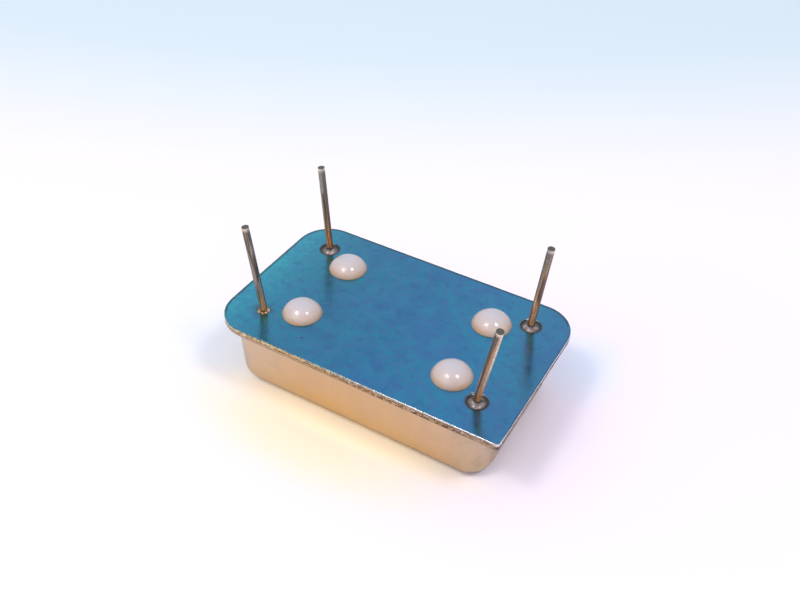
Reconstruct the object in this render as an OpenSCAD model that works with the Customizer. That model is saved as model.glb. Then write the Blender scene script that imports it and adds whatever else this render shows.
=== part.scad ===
// Metal-can crystal oscillator with four leads on a dual-in-line grid.
// Millimetres. It stands on the closed face of its cover with the leads up, as it lies on a bench.
// The origin is the centre of that closed face. X runs along the can toward the square corner that
// marks lead 1, Y runs across it, and Z points out of the header, along the leads.

/* [Can outline] */
// Distance from the leads out to the plate's ends
plate_margin_x = 2.51; // [2.3:0.01:3.5]
// Distance from the leads out to the plate's long edges
plate_margin_y = 2.38; // [2.3:0.01:3.5]
// Radius of the three round corners of the plate
plate_corner_r = 2.3; // [1.8:0.1:3]
// Radius of the square corner beside lead 1
key_corner_r = 0.25; // [0.1:0.05:0.6]
// Height from the cover's closed face to the header's outer face
body_h = 5.6; // [5:0.1:8]

/* [Cover] */
// Thickness of the drawn sheet
cover_t = 0.25; // [0.2:0.05:0.35]
// Width of the flange, from its edge in to the wall
ledge_w = 0.8; // [0.6:0.05:1.1]
// Radius of the wall's corners at the flange
wall_corner_r = 1.8; // [1.6:0.05:2.2]
// Radius between the wall and the closed face
base_r = 1.3; // [0.8:0.05:1.4]
// Draft of the wall from upright, in degrees
draft_angle = 2.2; // [0.5:0.1:3]
// Radius between the wall and the flange
flange_fillet_r = 0.22; // [0.1:0.02:0.3]
// How far the drawn wall sits off the middle of the flange, along the can
wall_shift = -0.14; // [-0.16:0.02:0.16]

/* [Header] */
// Thickness of the header's flange
header_flange_t = 0.25; // [0.2:0.05:0.4]
// Depth of the header's platform below its flange
platform_t = 0.75; // [0.5:0.05:1.2]
// Clearance between the platform and the inside of the cover
platform_gap = 0.3; // [0.2:0.05:0.6]
// Radius of the platform's corners
platform_corner_r = 1.2; // [0.8:0.1:2]
// Diameter of the three glass-sealed holes
seal_d = 1.46; // [1.2:0.02:1.6]
// Chamfer round the mouth of each glass-sealed hole
seal_mouth = 0.08; // [0.04:0.01:0.1]
// Depth of the glass below the header's face at the edge of its hole
seal_sink = 0.1; // [0.08:0.01:0.15]
// Diameter of the brazed hole of the ground lead
braze_d = 0.8; // [0.6:0.02:1]
// Radius of the hollow fillet where the glass climbs each lead
seal_fillet_r = 0.34; // [0.2:0.02:0.4]
// Radius of the hollow fillet where the braze climbs the ground lead
braze_fillet_r = 0.16; // [0.1:0.02:0.17]

/* [Leads] */
// Diameter of a lead
lead_d = 0.46; // [0.4:0.01:0.54]
// Distance between the lead rows' ends, along the can
lead_pitch_x = 15.24; // [15:0.02:15.5]
// Distance between the two lead rows, across the can
lead_pitch_y = 7.62; // [7.5:0.02:7.8]
// Length of a lead outside the header
lead_out = 6.44; // [5:0.02:8]
// Height above the header where each lead starts to lean
lead_bend_h = 0.3; // [0.25:0.05:1]
// Radius of the bend where each lead starts to lean
lead_bend_r = 1.2; // [0.6:0.1:2]
// Length of a lead past the circuit board inside
lead_in = 0.35; // [0.2:0.05:0.6]
// Lean of lead 1 along X and Y, in degrees
lean_angle_1 = [10.1, -4.8]; // [-15:0.1:15]
// Lean of lead 7 along X and Y, in degrees
lean_angle_7 = [-5.8, -1.7]; // [-15:0.1:15]
// Lean of lead 8 along X and Y, in degrees
lean_angle_8 = [-4.8, 0.7]; // [-15:0.1:15]
// Lean of lead 14 along X and Y, in degrees
lean_angle_14 = [5.2, -1.3]; // [-15:0.1:15]

/* [Glass standoffs] */
// Diameter of a standoff where it meets the header
standoff_d = 2.6; // [2:0.02:2.8]
// Distance of the standoffs from the middle, along the can
standoff_x = 5.4; // [4:0.05:5.8]
// Distance of the standoffs from the middle, across the can
standoff_y = 2.7; // [2:0.05:3]
// Height of the standoff beside lead 1
standoff_1_h = 0.9; // [0.6:0.02:1.2]
// Height of the standoff beside lead 7
standoff_7_h = 0.9; // [0.6:0.02:1.2]
// Height of the standoff beside lead 8
standoff_8_h = 0.88; // [0.6:0.02:1.2]
// Height of the standoff beside lead 14
standoff_14_h = 0.88; // [0.6:0.02:1.2]

/* [Circuit board] */
// Thickness of the insulating sheet between the header and the board
sheet_t = 0.1; // [0.05:0.05:0.2]
// Distance from the platform's edge in to the board's edge
board_inset = 0.3; // [0.2:0.05:0.5]
// Distance from the board's edge in to the insulating sheet's edge
sheet_inset = 0.2; // [0.1:0.05:0.4]
// Thickness of the ceramic board
board_t = 0.6; // [0.4:0.05:0.7]
// Diameter of the holes that the leads pass through
board_hole_d = 0.7; // [0.6:0.05:0.9]
// Clearance between the insulating sheet and the glass seals
sheet_gap = 0.4; // [0.1:0.05:1]
// Thickness of the printed conductors
film_t = 0.04; // [0.03:0.01:0.06]
// Diameter of the conductor land round each lead
land_d = 1.5; // [1.3:0.05:1.6]
// Width of a conductor track
track_w = 0.3; // [0.2:0.05:0.4]
// Radius of the solder fillet at each lead
solder_r = 0.3; // [0.2:0.05:0.34]

/* [Quartz crystal] */
// Diameter of the quartz blank
blank_d = 7; // [6:0.1:7]
// Thickness of the quartz blank
blank_t = 0.2; // [0.15:0.01:0.3]
// Distance from the board's end to the nearer clip's foot
blank_margin = 0.85; // [0.4:0.05:1.2]
// Distance from the conductors to the blank
blank_drop = 1; // [0.8:0.05:1.3]
// Distance from the edge of the blank in to the plated electrodes
electrode_margin = 1.7; // [1.5:0.05:2]
// Thickness of the plated electrodes
electrode_t = 0.03; // [0.02:0.01:0.04]
// Width of the tab from each electrode to its clip
electrode_tab_w = 0.5; // [0.3:0.1:0.6]
// Width of the spring clips
clip_w = 1.2; // [0.8:0.1:1.4]
// Thickness of the spring clips
clip_t = 0.1; // [0.08:0.01:0.14]
// Length of a clip's foot on its pad
clip_foot_l = 0.9; // [0.6:0.05:1]
// Clearance between the blank's rim and the clip's upright
clip_rim_gap = 0.1; // [0.05:0.01:0.15]
// Length that each clip reaches over the blank
clip_reach = 0.55; // [0.4:0.05:0.8]
// Radius of the conductive adhesive dab on each clip
dab_r = 0.4; // [0.3:0.05:0.5]
// Height of the conductive adhesive dab
dab_h = 0.28; // [0.2:0.02:0.3]

/* [Oscillator chip] */
// Length of the chip's moulding, across the can
chip_l = 4.9; // [4.8:0.05:5]
// Width of the chip's moulding, along the can
chip_w = 3.9; // [3.8:0.05:4]
// Thickness of the chip's moulding
chip_t = 1.4; // [1.2:0.05:1.6]
// Distance from the board's end to the chip's leads
chip_margin = 0.55; // [0.3:0.05:0.8]
// Clearance between the moulding and the conductors
chip_gap = 0.12; // [0.08:0.02:0.2]
// Draft of the moulding's sides, in degrees
chip_draft_angle = 8; // [4:1:12]
// Spacing of the chip's leads
chip_pitch = 1.27; // [1.25:0.01:1.29]
// Span over the chip's leads
chip_span = 6; // [5.8:0.05:6.2]
// Width of a chip lead
chip_lead_w = 0.42; // [0.35:0.01:0.5]
// Thickness of a chip lead
chip_lead_t = 0.2; // [0.15:0.01:0.25]
// Length of a chip lead's foot
chip_foot_l = 0.6; // [0.5:0.05:0.75]
// Length of a chip lead's level stretch beside the moulding
chip_shoulder_l = 0.35; // [0.25:0.05:0.4]

/* [Capacitors and resistors] */
// Length of a chip capacitor
cap_l = 2; // [1.8:0.05:2.2]
// Width of a chip capacitor
cap_w = 1.25; // [1.1:0.05:1.35]
// Thickness of a chip capacitor
cap_t = 0.8; // [0.6:0.05:1]
// Length of a capacitor's plated ends
cap_end_l = 0.35; // [0.25:0.05:0.5]
// Thickness of the plating on a capacitor's ends
cap_plating_t = 0.03; // [0.02:0.01:0.05]
// Length of a printed resistor between its lands
resistor_l = 1.2; // [0.8:0.1:1.4]
// Width of a printed resistor
resistor_w = 0.7; // [0.4:0.1:0.9]
// Distance from the resistors' middle to the track that turns in to the chip
resistor_margin = 2.25; // [1.9:0.05:2.6]

/* [Hidden] */
// Facets of a curve: enough for the tools to read it as a true circle
$fn = 64;
// Overshoot of a cutting shape
cut = 0.5;
// Places of the leads from the middle, and the size of the plate round them
lead_x = lead_pitch_x / 2;
lead_y = lead_pitch_y / 2;
plate_l = lead_pitch_x + 2 * plate_margin_x;
plate_w = lead_pitch_y + 2 * plate_margin_y;
// The plane where the header's flange meets the cover's flange
seam_z = body_h - header_flange_t;
// Outer size of the cover's wall at the flange
wall_l = plate_l - 2 * ledge_w;
wall_w = plate_w - 2 * ledge_w;
// Axes of the wall's corners
corner_x = wall_l / 2 - wall_corner_r;
corner_y = wall_w / 2 - wall_corner_r;
// Underside of the header's platform and its size, which clears the inside of the cover
platform_z = seam_z - platform_t;
platform_l = wall_l - 2 * (cover_t + platform_gap);
platform_w = wall_w - 2 * (cover_t + platform_gap);
// The board and its layers, which hang below the platform
sheet_z = platform_z - sheet_t;
board_z = sheet_z - board_t;
film_z = board_z - film_t;
board_l = platform_l - 2 * board_inset;
board_w = platform_w - 2 * board_inset;
sheet_l = lead_pitch_x - seal_d - 2 * sheet_gap;
// The leads: number, side along X, side along Y, lean
leads = [
    [1, 1, -1, lean_angle_1],
    [7, -1, -1, lean_angle_7],
    [8, -1, 1, lean_angle_8],
    [14, 1, 1, lean_angle_14]
];
// Sizes of the conductor pads, which stand out past the feet that they carry
pad_rim = 0.1;
chip_pad_l = chip_foot_l + 3 * pad_rim;
chip_pad_w = chip_lead_w + 2 * pad_rim;
cap_pad_l = cap_end_l + 3 * pad_rim;
cap_pad_w = cap_w + pad_rim;
clip_pad_l = clip_foot_l + 2 * pad_rim;
clip_pad_w = clip_w + 4 * pad_rim;
resistor_land_l = 4 * pad_rim;
resistor_land_w = resistor_w + pad_rim;
// The quartz blank: its place and its two faces
electrode_d = blank_d - 2 * electrode_margin;
clip_at = blank_d / 2 + clip_rim_gap;
clip_tip_at = clip_at - clip_reach;
clip_pad_x = clip_at + clip_foot_l / 2;
blank_x = blank_margin + clip_foot_l + clip_at - board_l / 2;
blank_top_z = film_z - blank_drop;
blank_low_z = blank_top_z - blank_t;
// The chip: its place, the faces of its moulding and the height of its parting line
chip_x = board_l / 2 - chip_margin - chip_span / 2;
chip_pad_x = (chip_span - chip_foot_l) / 2;
chip_top_z = film_z - chip_gap;
chip_low_z = chip_top_z - chip_t;
chip_mid_z = (chip_top_z + chip_low_z) / 2;
chip_shrink = chip_t / 2 * tan(chip_draft_angle);
chip_pins = [for (side = [-1, 1], k = [-1.5:1:1.5]) [side, k * chip_pitch]];
// The track that turns in to the chip, the track under it, and what stands beside them
turn_x = chip_x - chip_pad_x - chip_pad_l / 2 - track_w;
bus_x = chip_x - chip_pad_x + chip_pad_l / 2 + track_w;
cap_x = bus_x + (cap_l - cap_end_l) / 2;
resistor_x = turn_x - resistor_margin;

// Every piece, by name
// The piece to draw, or all of them

// Distance from a corner's axis to the wall at height z, moved inward by inset
function wall_x(z, inset) = wall_corner_r - (seam_z - z) * tan(draft_angle) - inset / cos(draft_angle);

// Direction in which a lead with this lean points
function lead_dir(lean) = [tan(lean[0]), tan(lean[1]), 1] / norm([tan(lean[0]), tan(lean[1]), 1]);

// Place of a lead's foot on the header
function lead_at(lead) = [lead[1] * lead_x, lead[2] * lead_y];

// The lead with this number
function lead_of(number) = [for (lead = leads) if (lead[0] == number) lead][0];

// Rectangle with its own radius at each corner, in the order -X -Y, +X -Y, +X +Y, -X +Y
module rounded_rect(l, w, radii) {
    sides = [[-1, -1], [1, -1], [1, 1], [-1, 1]];
    difference() {
        square([l, w], center = true);
        for (k = [0:3])
            corner_waste(l, w, sides[k], radii[k]);
    }
}

// What a round corner of radius r cuts from a rectangle
module corner_waste(l, w, side, r) {
    translate([side[0] * (l / 2 - r), side[1] * (w / 2 - r)])
        difference() {
            translate([side[0] * r, side[1] * r])
                square(2 * r, center = true);
            circle(r = r);
        }
}

// Outline that the header's flange and the cover's flange share
module plate_outline() {
    rounded_rect(plate_l, plate_w, [plate_corner_r, key_corner_r, plate_corner_r, plate_corner_r]);
}

// Half section of the cover's tub, from a corner's axis out to the wall, inset from its outside
module tub_section(inset, top) {
    r = base_r - inset;
    centre = [wall_x(base_r, base_r), base_r];
    intersection() {
        union() {
            polygon([
                [0, inset],
                [centre[0], inset],
                centre + r * [cos(draft_angle), -sin(draft_angle)],
                [wall_x(top, inset), top],
                [0, top]
            ]);
            translate(centre)
                circle(r = r);
        }
        square([wall_corner_r + 1, top]);
    }
}

// Half section of the cover's outside, which turns out into the flange through a fillet
module cover_section() {
    under_z = seam_z - cover_t;
    fillet_z = under_z - flange_fillet_r;
    centre = [wall_x(fillet_z, -flange_fillet_r), fillet_z];
    tub_section(0, under_z - 2 * flange_fillet_r);
    difference() {
        polygon([
            [0, base_r],
            [wall_x(base_r, 0), base_r],
            centre - flange_fillet_r * [cos(draft_angle), -sin(draft_angle)],
            centre,
            [centre[0], under_z],
            [0, under_z]
        ]);
        translate(centre)
            circle(r = flange_fillet_r);
    }
}

// Solid tub from a half section: four turned corners, four straight sides and the middle
module tub(low, top) {
    for (k = [0:3])
        mirror([k % 2, 0, 0])
            mirror([0, floor(k / 2), 0])
                translate([corner_x, corner_y, 0])
                    rotate_extrude(angle = 90)
                        children();
    for (k = [0, 1]) {
        mirror([k, 0, 0])
            translate([corner_x, 0, 0])
                rotate([90, 0, 0])
                    linear_extrude(height = 2 * corner_y, center = true)
                        children();
        mirror([0, k, 0])
            translate([0, corner_y, 0])
                rotate([90, 0, 90])
                    linear_extrude(height = 2 * corner_x, center = true)
                        children();
    }
    translate([-corner_x, -corner_y, low])
        cube([2 * corner_x, 2 * corner_y, top - low]);
}

// Drawn cover: one sheet with drafted walls, a round base edge and a welded flange
module cover() {
    color([0.78, 0.7, 0.6])
        difference() {
            union() {
                translate([wall_shift, 0, 0])
                    tub(0, seam_z - cover_t)
                        cover_section();
                translate([0, 0, seam_z - cover_t])
                    linear_extrude(height = cover_t)
                        plate_outline();
            }
            translate([wall_shift, 0, 0])
                tub(cover_t, seam_z + cut)
                    tub_section(cover_t, seam_z + cut);
        }
}

// Header: a stamped flange with a platform that fits into the cover, and four lead holes
module header() {
    color([0.26, 0.48, 0.63])
        difference() {
            union() {
                translate([0, 0, seam_z])
                    linear_extrude(height = header_flange_t)
                        plate_outline();
                translate([0, 0, platform_z])
                    linear_extrude(height = platform_t)
                        rounded_rect(platform_l, platform_w, [for (k = [0:3]) platform_corner_r]);
            }
            for (lead = leads)
                translate(lead_at(lead)) {
                    translate([0, 0, platform_z - cut])
                        cylinder(d = lead[0] == 7 ? braze_d : seal_d, h = body_h - platform_z + 2 * cut);
                    if (lead[0] != 7)
                        translate([0, 0, body_h - seal_mouth])
                            cylinder(d1 = seal_d, d2 = seal_d + 4 * seal_mouth, h = 2 * seal_mouth);
                }
        }
}

// Collar that fills a header hole round a lead up to z and climbs the lead in a hollow fillet
module hole_collar(number, d, z, fillet_r) {
    translate(lead_at(lead_of(number)))
        rotate_extrude() {
            translate([lead_d / 2, platform_z])
                square([(d - lead_d) / 2, z - platform_z]);
            difference() {
                translate([lead_d / 2, z])
                    square(fillet_r);
                translate([lead_d / 2 + fillet_r, z + fillet_r])
                    circle(r = fillet_r);
            }
        }
}

// Glass that seals a signal lead and insulates it from the header
module glass_seal(number) {
    color([0.36, 0.32, 0.34])
        hole_collar(number, seal_d, body_h - seal_sink, seal_fillet_r);
}

// Braze that joins the ground lead to the header
module ground_braze() {
    color([0.6, 0.56, 0.5])
        hole_collar(7, braze_d, body_h, braze_fillet_r);
}

// Round lead: straight through the header and the board, then bent over to its lean
module lead(number) {
    lead = lead_of(number);
    dir = lead_dir(lead[3]);
    tilt = acos(dir[2]);
    low_z = film_z - lead_in;
    bend_z = body_h + lead_bend_h;
    bend_l = lead_bend_r * tilt * PI / 180;
    color([0.62, 0.54, 0.42])
        translate(lead_at(lead))
            rotate(atan2(dir[1], dir[0])) {
                translate([0, 0, low_z])
                    cylinder(d = lead_d, h = bend_z - low_z);
                translate([lead_bend_r, 0, bend_z]) {
                    rotate([90, 0, 0])
                        rotate(180 - tilt)
                            rotate_extrude(angle = tilt)
                                translate([lead_bend_r, 0])
                                    circle(d = lead_d);
                    rotate([0, tilt, 0])
                        translate([-lead_bend_r, 0, 0])
                            cylinder(d = lead_d, h = lead_out - lead_bend_h - bend_l);
                }
            }
}

// Glass standoff: a cap of a sphere fused to the header, which keeps the can off its board
module standoff(number, h) {
    lead = lead_of(number);
    r = (pow(standoff_d / 2, 2) + h * h) / (2 * h);
    color([0.93, 0.9, 0.9])
        translate([lead[1] * standoff_x, lead[2] * standoff_y, body_h])
            intersection() {
                translate([0, 0, h - r])
                    sphere(r = r);
                cylinder(d = standoff_d + cut, h = h + cut);
            }
}

// Insulating sheet that bonds the board to the platform, between the two pairs of leads
module insulating_sheet() {
    color([0.85, 0.75, 0.45])
        translate([0, 0, sheet_z + sheet_t / 2])
            cube([sheet_l, board_w - 2 * sheet_inset, sheet_t], center = true);
}

// Alumina board with a hole for each lead
module circuit_board() {
    color([0.92, 0.9, 0.86])
        translate([0, 0, board_z])
            linear_extrude(height = board_t)
                difference() {
                    square([board_l, board_w], center = true);
                    for (lead = leads)
                        translate(lead_at(lead))
                            circle(d = board_hole_d);
                }
}

// Conductor pad with its centre at x, y
module pad(x, y, l, w) {
    translate([x, y])
        square([l, w], center = true);
}

// Straight conductor track between two points on one line along X or Y
module track(from, to) {
    low = [min(from[0], to[0]), min(from[1], to[1])];
    high = [max(from[0], to[0]), max(from[1], to[1])];
    translate(low - [track_w, track_w] / 2)
        square(high - low + [track_w, track_w]);
}

// Printed conductors: lead lands, pads and the tracks that join them
module conductor_outline() {
    for (lead = leads)
        translate(lead_at(lead))
            circle(d = land_d);
    for (pin = chip_pins)
        pad(chip_x + pin[0] * chip_pad_x, pin[1], chip_pad_l, chip_pad_w);
    for (side = [-1, 1]) {
        pad(blank_x + side * clip_pad_x, 0, clip_pad_l, clip_pad_w);
        for (end = [-1, 1]) {
            pad(cap_x + end * (cap_l - cap_end_l) / 2, side * lead_y, cap_pad_l, cap_pad_w);
            pad(resistor_x + end * (resistor_l + resistor_land_l) / 2, side * lead_y,
                resistor_land_l, resistor_land_w);
        }
        track([-lead_x, side * lead_y], [resistor_x - (resistor_l + resistor_land_l) / 2, side * lead_y]);
        track([resistor_x + (resistor_l + resistor_land_l) / 2, side * lead_y], [turn_x, side * lead_y]);
        track([turn_x, side * lead_y], [turn_x, side * 1.5 * chip_pitch]);
        track([turn_x, side * 1.5 * chip_pitch], [turn_x + track_w, side * 1.5 * chip_pitch]);
        track([cap_x + cap_l / 2, side * lead_y], [lead_x, side * lead_y]);
        track([chip_x + chip_pad_x, side * 1.5 * chip_pitch], [chip_x + chip_pad_x, side * lead_y]);
    }
    track([bus_x, -lead_y], [bus_x, lead_y]);
    track([blank_x - clip_pad_x, chip_pitch], [turn_x, chip_pitch]);
    track([blank_x - clip_pad_x, 0], [blank_x - clip_pad_x, chip_pitch]);
    track([turn_x, chip_pitch / 2], [turn_x, chip_pitch]);
    track([turn_x, chip_pitch / 2], [turn_x + track_w, chip_pitch / 2]);
    track([blank_x + clip_pad_x, -chip_pitch / 2], [turn_x + track_w, -chip_pitch / 2]);
}

// Conductor film on the board, open where a lead passes
module conductor_film() {
    color([0.8, 0.65, 0.3])
        translate([0, 0, film_z])
            linear_extrude(height = film_t)
                difference() {
                    conductor_outline();
                    for (lead = leads)
                        translate(lead_at(lead))
                            circle(d = board_hole_d);
                }
}

// Solder that fills each board hole and climbs the lead's inner end
module lead_solder() {
    color([0.75, 0.75, 0.76])
        for (lead = leads)
            translate(lead_at(lead))
                rotate_extrude() {
                    translate([lead_d / 2, film_z])
                        square([(board_hole_d - lead_d) / 2, sheet_z - film_z]);
                    difference() {
                        translate([lead_d / 2, film_z - solder_r])
                            square(solder_r);
                        translate([lead_d / 2 + solder_r, film_z - solder_r])
                            circle(r = solder_r);
                    }
                }
}

// Printed resistor between its two lands
module resistor(side) {
    color([0.16, 0.16, 0.17])
        translate([resistor_x, side * lead_y, board_z - film_t / 2])
            cube([resistor_l, resistor_w, film_t], center = true);
}

// Spring clip at the blank's +X side: a foot, an upright and two prongs that hold the rim
module clip() {
    color([0.72, 0.7, 0.66])
        rotate([90, 0, 0])
            linear_extrude(height = clip_w, center = true) {
                translate([clip_at, film_z - clip_t])
                    square([clip_foot_l, clip_t]);
                translate([clip_at, blank_low_z - clip_t])
                    square([clip_t, film_z - blank_low_z + clip_t]);
                for (z = [blank_top_z, blank_low_z - clip_t])
                    translate([clip_tip_at, z])
                        square([clip_reach, clip_t]);
            }
}

// Clip, dab or electrode at one side of the blank: side is -1 or 1 along X
module at_blank(side) {
    translate([blank_x, 0, 0])
        mirror([side < 0 ? 1 : 0, 0, 0])
            children();
}

// Quartz blank, a thin round disc
module quartz_blank() {
    color([0.85, 0.9, 0.92])
        translate([blank_x, 0, blank_low_z])
            cylinder(d = blank_d, h = blank_t);
}

// Plated electrode with a tab that runs out to the clip on the +X side
module electrode(z) {
    color([0.85, 0.72, 0.35])
        translate([0, 0, z])
            linear_extrude(height = electrode_t) {
                circle(d = electrode_d);
                translate([0, -electrode_tab_w / 2])
                    square([clip_tip_at, electrode_tab_w]);
            }
}

// Dab of conductive adhesive at the tip of one of the clip's prongs, over the plated tab there
module adhesive(upper) {
    r = (dab_r * dab_r + dab_h * dab_h) / (2 * dab_h);
    color([0.7, 0.7, 0.68])
        difference() {
            translate([clip_tip_at, 0, upper ? blank_top_z : blank_low_z])
                mirror([0, 0, upper ? 0 : 1])
                    intersection() {
                        translate([0, 0, dab_h - r])
                            sphere(r = r);
                        cylinder(r = dab_r + cut, h = dab_h + cut);
                    }
            clip();
            electrode(upper ? blank_top_z : blank_low_z - electrode_t);
        }
}

// Section of the chip's moulding across one direction, wide at the parting line
module moulding_section(width) {
    polygon([
        [-width / 2, chip_mid_z],
        [-width / 2 + chip_shrink, chip_low_z],
        [width / 2 - chip_shrink, chip_low_z],
        [width / 2, chip_mid_z],
        [width / 2 - chip_shrink, chip_top_z],
        [-width / 2 + chip_shrink, chip_top_z]
    ]);
}

// Moulded body of the oscillator chip
module chip_moulding() {
    color([0.1, 0.1, 0.1])
        translate([chip_x, 0, 0])
            intersection() {
                rotate([90, 0, 0])
                    linear_extrude(height = chip_l, center = true)
                        moulding_section(chip_w);
                rotate([90, 0, 90])
                    linear_extrude(height = chip_w, center = true)
                        moulding_section(chip_l);
            }
}

// Gull-wing leads of the chip, from the moulding's sides to their pads
module chip_leads() {
    shoulder_x = chip_w / 2 + chip_shoulder_l;
    foot_x = chip_span / 2 - chip_foot_l;
    half_t = chip_lead_t / 2;
    color([0.74, 0.74, 0.75])
        translate([chip_x, 0, 0])
            for (pin = chip_pins)
                mirror([pin[0] < 0 ? 1 : 0, 0, 0])
                    translate([0, pin[1], 0])
                        rotate([90, 0, 0])
                            linear_extrude(height = chip_lead_w, center = true)
                                difference() {
                                    polygon([
                                        [0, chip_mid_z - half_t],
                                        [shoulder_x, chip_mid_z - half_t],
                                        [foot_x + chip_lead_t, film_z - chip_lead_t],
                                        [chip_span / 2, film_z - chip_lead_t],
                                        [chip_span / 2, film_z],
                                        [foot_x, film_z],
                                        [shoulder_x - chip_lead_t, chip_mid_z + half_t],
                                        [0, chip_mid_z + half_t]
                                    ]);
                                    moulding_section(chip_w);
                                }
}

// Ceramic body of a chip capacitor, raised by the plating of its ends
module capacitor(side) {
    color([0.72, 0.6, 0.45])
        translate([cap_x, side * lead_y, film_z - cap_t / 2])
            cube([cap_l - 2 * cap_end_l, cap_w - 2 * cap_plating_t, cap_t - 2 * cap_plating_t],
                 center = true);
}

// The capacitor's two plated ends, which stand on its pads
module capacitor_ends(side) {
    color([0.76, 0.76, 0.77])
        for (end = [-1, 1])
            translate([cap_x + end * (cap_l - cap_end_l) / 2, side * lead_y, film_z - cap_t / 2])
                cube([cap_end_l, cap_w, cap_t], center = true);
}

cover();
header();
glass_seal(1);  // glass_seal_1
glass_seal(8);  // glass_seal_8
glass_seal(14);  // glass_seal_14
ground_braze();
lead(1);  // lead_1
lead(7);  // lead_7
lead(8);  // lead_8
lead(14);  // lead_14
standoff(1, standoff_1_h);  // standoff_1
standoff(7, standoff_7_h);  // standoff_7
standoff(8, standoff_8_h);  // standoff_8
standoff(14, standoff_14_h);  // standoff_14
insulating_sheet();
circuit_board();
conductor_film();
lead_solder();
resistor(-1);  // resistor_1
resistor(1);  // resistor_2
at_blank(-1) clip();  // clip_left
at_blank(1) clip();  // clip_right
quartz_blank();
at_blank(-1) electrode(blank_top_z);  // electrode_upper
at_blank(1) electrode(blank_low_z - electrode_t);  // electrode_lower
at_blank(-1) adhesive(true);  // adhesive_left
at_blank(1) adhesive(false);  // adhesive_right
chip_moulding();
chip_leads();
capacitor(-1);  // capacitor_1
capacitor_ends(-1);  // capacitor_1_ends
capacitor(1);  // capacitor_2
capacitor_ends(1);  // capacitor_2_ends
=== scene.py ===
import bpy, bmesh
from math import asin, cos, pi, radians, sin, sqrt, tan
from mathutils import Vector, Matrix, noise


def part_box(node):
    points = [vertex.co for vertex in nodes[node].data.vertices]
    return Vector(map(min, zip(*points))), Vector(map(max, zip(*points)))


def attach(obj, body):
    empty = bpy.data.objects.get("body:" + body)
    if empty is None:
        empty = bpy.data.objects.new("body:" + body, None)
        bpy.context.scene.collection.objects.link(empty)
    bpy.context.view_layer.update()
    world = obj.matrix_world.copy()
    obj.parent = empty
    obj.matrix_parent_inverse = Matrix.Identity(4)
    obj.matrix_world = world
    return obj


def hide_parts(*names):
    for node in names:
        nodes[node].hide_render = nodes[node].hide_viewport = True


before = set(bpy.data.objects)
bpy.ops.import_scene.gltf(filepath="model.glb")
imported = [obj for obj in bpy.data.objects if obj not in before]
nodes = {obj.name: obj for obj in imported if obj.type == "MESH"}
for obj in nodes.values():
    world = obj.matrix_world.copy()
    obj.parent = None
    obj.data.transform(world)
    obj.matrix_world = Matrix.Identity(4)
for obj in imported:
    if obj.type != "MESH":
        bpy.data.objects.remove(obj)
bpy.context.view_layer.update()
mm = 0.001
print("frame loaded:", len(nodes), "solids")


def newObject(name, data):
    made = bpy.data.objects.new(name, data)
    bpy.context.scene.collection.objects.link(made)
    return made


view = {
    "azimuth": 29.29, "elevation": 40.30, "roll": 1.57,   # degrees
    "distance": 57.78, "lens": 39.93, "sensor": 36,   # mm
    "aside": (-0.71, 1.65),   # where it looks, from the middle of the plate
    "clip": (0.002, 20),   # metres
}


def placeCamera(setup):
    az, el, roll = (radians(setup[k]) for k in ("azimuth", "elevation", "roll"))
    back = Vector((sin(az) * cos(el), -cos(az) * cos(el), sin(el)))
    right = (-back).cross(Vector((0, 0, 1))).normalized()
    up = right.cross(-back)
    right, up = right * cos(roll) + up * sin(roll), up * cos(roll) - right * sin(roll)
    lo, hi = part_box("header")
    aside = Vector(setup["aside"]) * mm
    target = Vector(((lo.x + hi.x) / 2 + aside.x, (lo.y + hi.y) / 2 + aside.y, hi.z))
    data = bpy.data.cameras.new("camera")
    data.lens, data.sensor_width = setup["lens"], setup["sensor"]
    data.clip_start, data.clip_end = setup["clip"]
    camera = newObject("camera", data)
    turn = Matrix((right, up, back)).transposed().to_4x4()
    camera.matrix_world = Matrix.Translation(target + back * setup["distance"] * mm) @ turn
    bpy.context.scene.camera = camera
    return right, up, back


camRight, camUp, camBack = placeCamera(view)


def feed(tree, socket, value):   # a link where the value is a socket, otherwise the socket's own value
    if isinstance(value, bpy.types.NodeSocket):
        tree.links.new(value, socket)
    else:
        socket.default_value = value


def addNode(tree, kind, inputs=None, **settings):
    node = tree.nodes.new(kind)
    for key, value in settings.items():
        setattr(node, key, value)
    for key, value in (inputs or {}).items():
        feed(tree, node.inputs[key], value)
    return node


def firstOut(tree, kind, inputs=None, **settings):
    return addNode(tree, kind, inputs, **settings).outputs[0]


def mathNode(tree, operation, a, b=0.5):
    return firstOut(tree, "ShaderNodeMath", {0: a, 1: b}, operation=operation)


def times(tree, a, b):
    return mathNode(tree, "MULTIPLY", a, b)


def plus(tree, a, b):
    return mathNode(tree, "ADD", a, b)


def vectorMath(tree, operation, a, b=(0, 0, 0)):
    outputs = addNode(tree, "ShaderNodeVectorMath", {0: a, 1: b}, operation=operation).outputs
    return outputs["Value" if operation in ("DISTANCE", "LENGTH", "DOT_PRODUCT") else "Vector"]


def spread(tree, value, low, high, toLow=0.0, toHigh=1.0, kind="LINEAR"):   # draws one range out to another
    return firstOut(tree, "ShaderNodeMapRange", {
        "Value": value, "From Min": low, "From Max": high, "To Min": toLow, "To Max": toHigh},
        interpolation_type=kind)


def between(tree, mask, low, high):
    return spread(tree, mask, 0.0, 1.0, low, high)


def noiseField(tree, place, scale, detail, roughness=0.5):
    return addNode(tree, "ShaderNodeTexNoise", {
        "Vector": place, "Scale": scale, "Detail": detail, "Roughness": roughness}).outputs["Fac"]


def objectPlace(tree):
    return addNode(tree, "ShaderNodeTexCoord").outputs["Object"]


def axisOf(tree, axis):
    return addNode(tree, "ShaderNodeSeparateXYZ", {"Vector": objectPlace(tree)}).outputs[axis]


def attribute(tree, name, output="Fac"):
    return addNode(tree, "ShaderNodeAttribute", attribute_name=name).outputs[output]


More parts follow.
